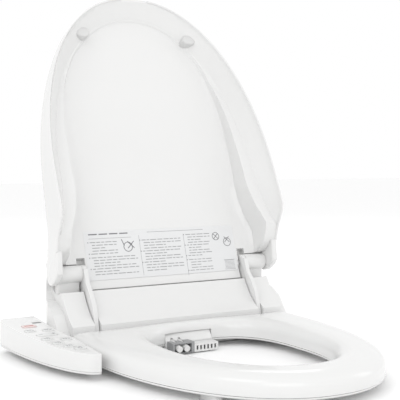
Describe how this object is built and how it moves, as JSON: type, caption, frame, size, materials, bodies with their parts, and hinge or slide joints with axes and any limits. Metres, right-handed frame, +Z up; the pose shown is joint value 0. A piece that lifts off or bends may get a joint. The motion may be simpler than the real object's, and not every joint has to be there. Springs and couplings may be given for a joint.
{
  "type": "electric bidet seat",
  "caption": "Electric bidet seat: open lid and seat ring on damped hinges, a body that slides off its plate, wash nozzles and a side panel with push buttons.",
  "frame": {"origin": "middle of the two fixing slots, on the top face of the toilet bowl", "axes": "+Z up, -Y towards the front tip of the seat, +X away from the control panel"},
  "size_m": [0.4458, 0.5607, 0.5391],
  "materials": {
    "white_gloss": "polished white injection-moulded",
    "white_matte": "fine satin",
    "grey_plastic": "satin",
    "dark_plastic": "satin",
    "ivory_plastic": "smooth moulded",
    "white_rubber": "soft matte",
    "dark_rubber": "soft matte",
    "steel": "brushed",
    "brass": "plated, fine turned",
    "heater_foil": "foil",
    "label_film": "printed film with plain grey bars",
    "circuit_board": "lacquered",
    "dark_window": "polished",
    "red_button": "satin",
    "grey_button": "satin"
  },
  "bodies": {
    "plate": {"mounting_plate": "grey_plastic"},
    "body": {"body_base": "white_matte", "body_cover": "white_gloss", "body_feet": "dark_rubber", "hinge_barrel_left": "white_gloss", "hinge_barrel_right": "white_gloss", "hinge_pin_left": "steel", "hinge_pin_right": "steel", "seat_damper": "grey_plastic", "lid_damper": "grey_plastic", "wing_base": "white_matte", "wing_cover": "white_gloss", "wing_board": "circuit_board", "wing_window": "dark_window", "wash_cover": "white_gloss", "nozzle_guard": "grey_plastic", "nozzle_cradle": "grey_plastic", "wash_motor": "steel", "front_motor": "steel", "air_outlet": "white_matte", "air_duct": "grey_plastic", "fan_housing": "dark_plastic", "fan_motor": "steel", "water_heater": "grey_plastic", "inlet_valve": "grey_plastic", "water_inlet": "brass", "water_filter": "white_matte", "drain_plug": "grey_plastic", "control_board": "circuit_board", "power_board": "circuit_board", "cord_gland": "dark_rubber", "case_screws": "steel"},
    "seat": {"seat_shell": "white_gloss", "seat_base": "white_gloss", "seat_arm_left": "white_gloss", "seat_arm_right": "white_gloss", "seat_heater": "heater_foil", "seat_buffers": "white_rubber"},
    "lid": {"lid_shell": "white_gloss", "lid_liner": "white_gloss", "lid_buffers": "white_rubber", "lid_label": "label_film"},
    "wash_nozzle": {"wash_nozzle": "white_matte"},
    "front_nozzle": {"front_nozzle": "white_matte"},
    "wash_gear": {"wash_gear": "ivory_plastic"},
    "front_gear": {"front_gear": "ivory_plastic"},
    "fan": {"fan_wheel": "dark_plastic"},
    "release": {"release_button": "grey_plastic"},
    "button_stop": {"button_stop": "red_button"},
    "button_wash": {"button_wash": "grey_button"},
    "button_front_wash": {"button_front_wash": "grey_button"},
    "button_pressure": {"button_pressure": "grey_button"},
    "button_dry": {"button_dry": "grey_button"},
    "button_nozzle": {"button_nozzle": "grey_button"},
    "button_water_heat": {"button_water_heat": "grey_button"},
    "button_seat_heat": {"button_seat_heat": "grey_button"},
    "button_power": {"button_power": "grey_button"}
  },
  "joints": [
    {"name": "body_slide", "type": "slide", "parent": "plate", "child": "body", "axis": [0, -1, 0], "range_m": [0, 0.064]},
    {"name": "lid_hinge", "type": "hinge", "parent": "body", "child": "lid", "pos_m": [0, -0.04, 0.112], "axis": [1, 0, 0], "range_deg": [0, 115]},
    {"name": "seat_hinge", "type": "hinge", "parent": "body", "child": "seat", "pos_m": [0, -0.04, 0.112], "axis": [1, 0, 0], "range_deg": [-113, 0]},
    {"name": "wash_nozzle_slide", "type": "slide", "parent": "body", "child": "wash_nozzle", "axis": [0, -0.9781, -0.2079], "range_m": [0, 0.056]},
    {"name": "wash_gear_spin", "type": "hinge", "parent": "body", "child": "wash_gear", "pos_m": [-0.036, -0.08434, 0.03616], "axis": [1, 0, 0], "range_deg": [-402, 1]},
    {"name": "front_nozzle_slide", "type": "slide", "parent": "body", "child": "front_nozzle", "axis": [0, -0.9781, -0.2079], "range_m": [0, 0.056]},
    {"name": "front_gear_spin", "type": "hinge", "parent": "body", "child": "front_gear", "pos_m": [-0.024, -0.08434, 0.03616], "axis": [1, 0, 0], "range_deg": [-402, 1]},
    {"name": "fan_spin", "type": "hinge", "parent": "body", "child": "fan", "pos_m": [0.01, -0.04, 0.054], "axis": [1, 0, 0], "continuous": true},
    {"name": "button_stop_press", "type": "slide", "parent": "body", "child": "button_stop", "axis": [0, 0.0454, -0.999], "range_m": [0, 0.0008], "stiffness_N_per_m": 500, "springref_m": -0.001},
    {"name": "button_wash_press", "type": "slide", "parent": "body", "child": "button_wash", "axis": [0, 0.0454, -0.999], "range_m": [0, 0.0008], "stiffness_N_per_m": 500, "springref_m": -0.001},
    {"name": "button_front_wash_press", "type": "slide", "parent": "body", "child": "button_front_wash", "axis": [0, 0.0454, -0.999], "range_m": [0, 0.0008], "stiffness_N_per_m": 500, "springref_m": -0.001},
    {"name": "button_pressure_press", "type": "slide", "parent": "body", "child": "button_pressure", "axis": [0, 0.0454, -0.999], "range_m": [0, 0.0008], "stiffness_N_per_m": 500, "springref_m": -0.001},
    {"name": "button_dry_press", "type": "slide", "parent": "body", "child": "button_dry", "axis": [0, 0.0454, -0.999], "range_m": [0, 0.0008], "stiffness_N_per_m": 500, "springref_m": -0.001},
    {"name": "button_nozzle_press", "type": "slide", "parent": "body", "child": "button_nozzle", "axis": [0, 0.0454, -0.999], "range_m": [0, 0.0008], "stiffness_N_per_m": 500, "springref_m": -0.001},
    {"name": "button_water_heat_press", "type": "slide", "parent": "body", "child": "button_water_heat", "axis": [0, 0.0454, -0.999], "range_m": [0, 0.0008], "stiffness_N_per_m": 500, "springref_m": -0.001},
    {"name": "button_seat_heat_press", "type": "slide", "parent": "body", "child": "button_seat_heat", "axis": [0, 0.0454, -0.999], "range_m": [0, 0.0008], "stiffness_N_per_m": 500, "springref_m": -0.001},
    {"name": "button_power_press", "type": "slide", "parent": "body", "child": "button_power", "axis": [0, 0.0454, -0.999], "range_m": [0, 0.0008], "stiffness_N_per_m": 500, "springref_m": -0.001},
    {"name": "release_press", "type": "slide", "parent": "body", "child": "release", "axis": [-1, 0, 0], "range_m": [0, 0.003], "stiffness_N_per_m": 400, "springref_m": -0.002}
  ],
  "couplings": [
    {"joint": "wash_gear_spin", "follows": "wash_nozzle_slide", "rad_per_m": -125},
    {"joint": "front_gear_spin", "follows": "front_nozzle_slide", "rad_per_m": -125}
  ]
}
